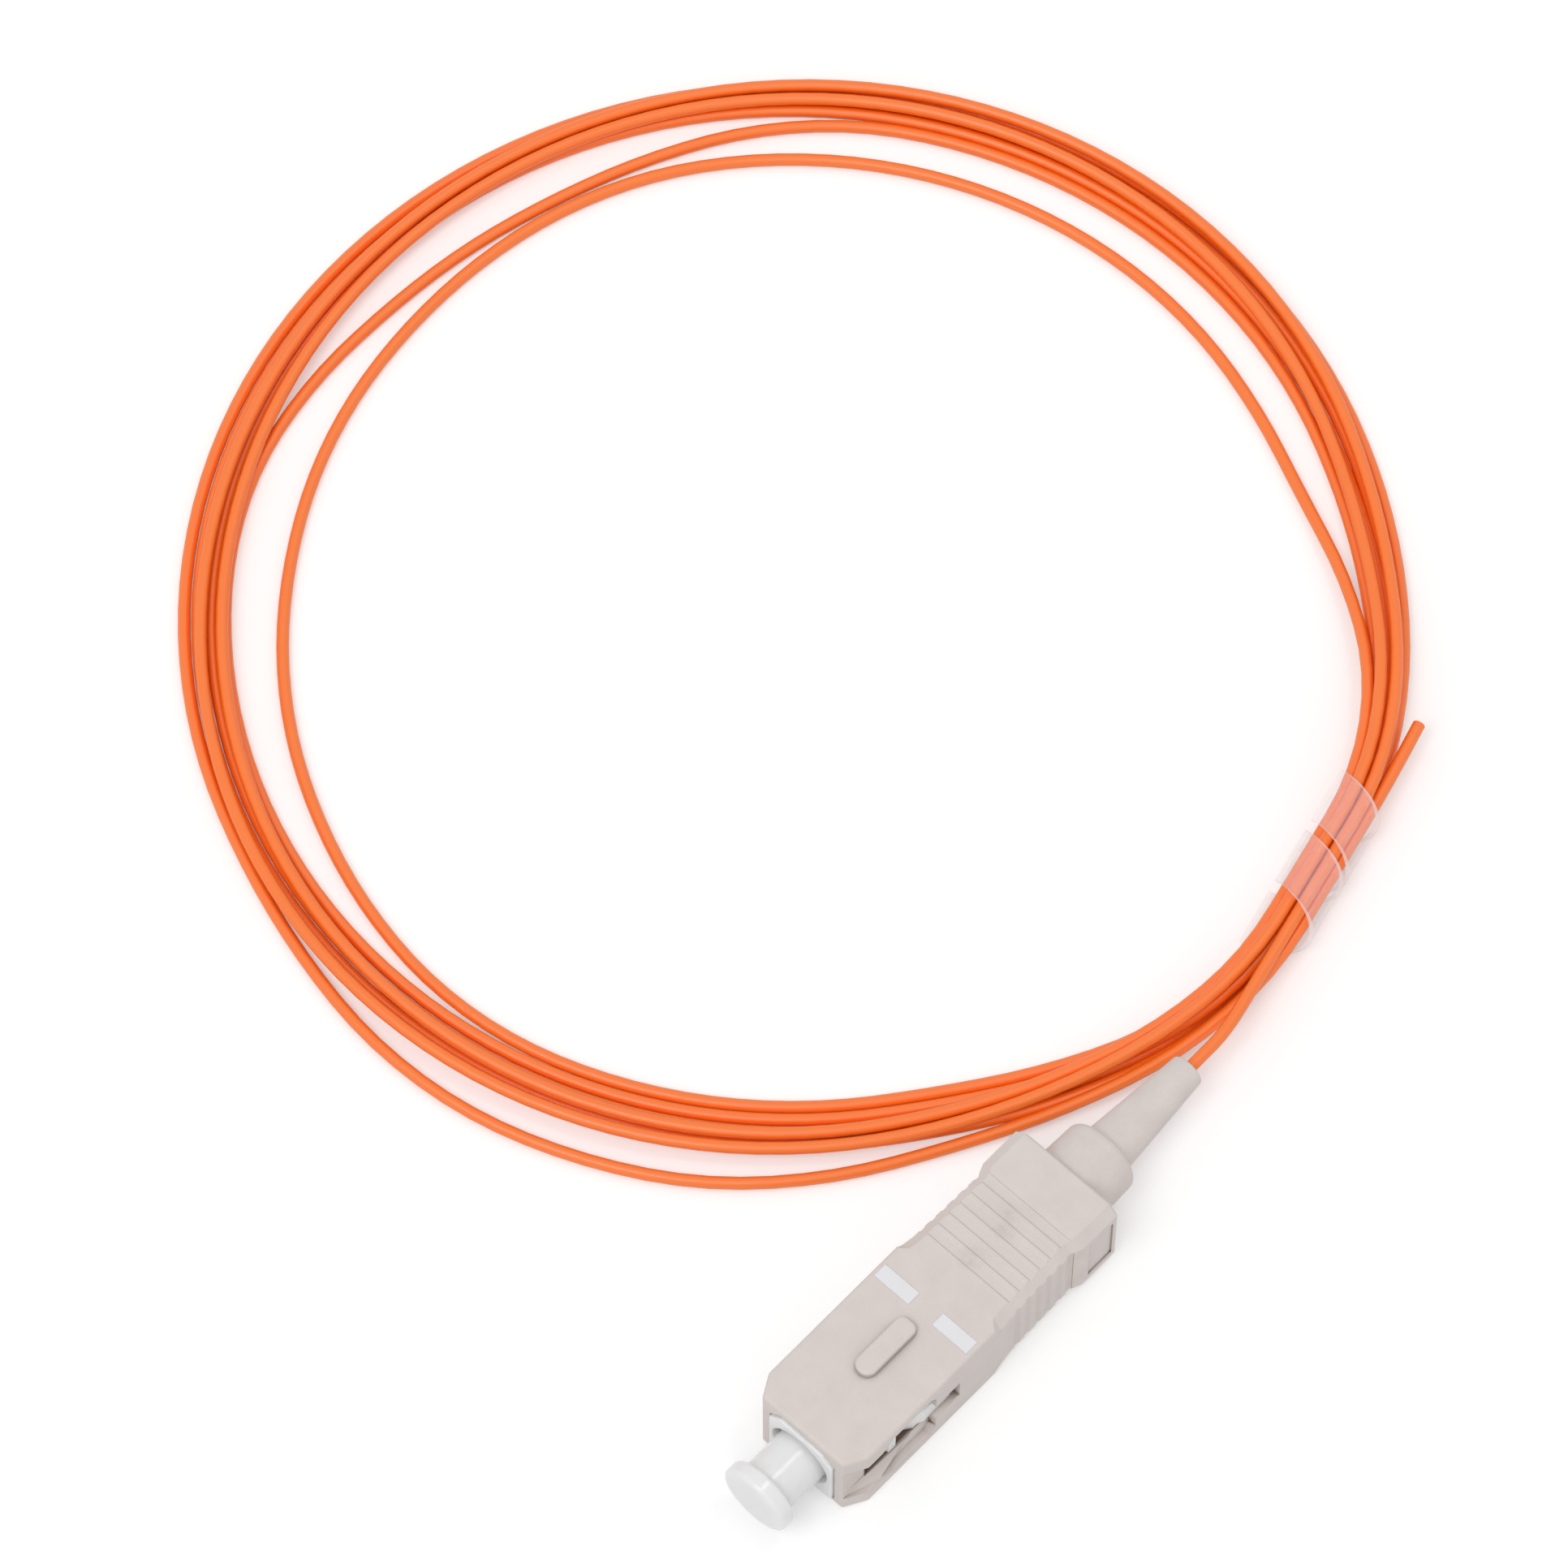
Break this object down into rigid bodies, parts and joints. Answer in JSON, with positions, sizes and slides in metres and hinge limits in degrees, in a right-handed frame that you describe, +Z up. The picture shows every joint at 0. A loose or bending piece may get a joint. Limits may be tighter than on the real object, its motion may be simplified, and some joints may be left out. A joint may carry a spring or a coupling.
{
  "type": "fibre optic pigtail",
  "caption": "Simplex push-pull fibre connector with sliding keyed housing, bend-relief boot and dust cap, on a thin orange buffered fibre tied in a round coil.",
  "frame": {"origin": "under the middle of the connector's length, on the surface that it lies on", "axes": "+X along the optical axis from the dust cap towards the cable, +Z up to the key side, +Y towards the coil"},
  "size_m": [0.0945, 0.0927, 0.008],
  "materials": {
    "housing_plastic": "moulded satin beige",
    "mark_print": "white print",
    "frame_plastic": "smooth white",
    "ceramic": "polished zirconia white",
    "flange_metal": "turned",
    "glass_fibre": "polished",
    "spring_steel": "drawn wire",
    "ring_metal": "turned",
    "boot_rubber": "moulded matte beige",
    "cap_plastic": "milky translucent",
    "buffer_jacket": "smooth orange",
    "wrap_film": "clear film"
  },
  "bodies": {
    "plug": {"plug_frame": "frame_plastic", "stop_ring": "ring_metal", "boot": "boot_rubber", "spring": "spring_steel", "fibre_lead": "buffer_jacket", "fibre_coil": "buffer_jacket", "fibre_tail": "buffer_jacket", "spiral_wrap": "wrap_film"},
    "grip": {"outer_housing": "housing_plastic", "insertion_marks": "mark_print"},
    "ferrule": {"ferrule": "ceramic", "ferrule_flange": "flange_metal", "bare_fibre": "glass_fibre"},
    "cap": {"dust_cap": "cap_plastic"}
  },
  "joints": [
    {"name": "housing_slide", "type": "slide", "parent": "plug", "child": "grip", "axis": [1, 0, 0], "range_m": [-0.00025, 0.0016]},
    {"name": "ferrule_float", "type": "slide", "parent": "plug", "child": "ferrule", "axis": [1, 0, 0], "range_m": [0, 0.0009], "stiffness_N_per_m": 3000, "deforming": ["spring"]},
    {"name": "dust_cap_pull", "type": "slide", "parent": "ferrule", "child": "cap", "axis": [-1, 0, 0], "range_m": [0, 0.01]}
  ]
}
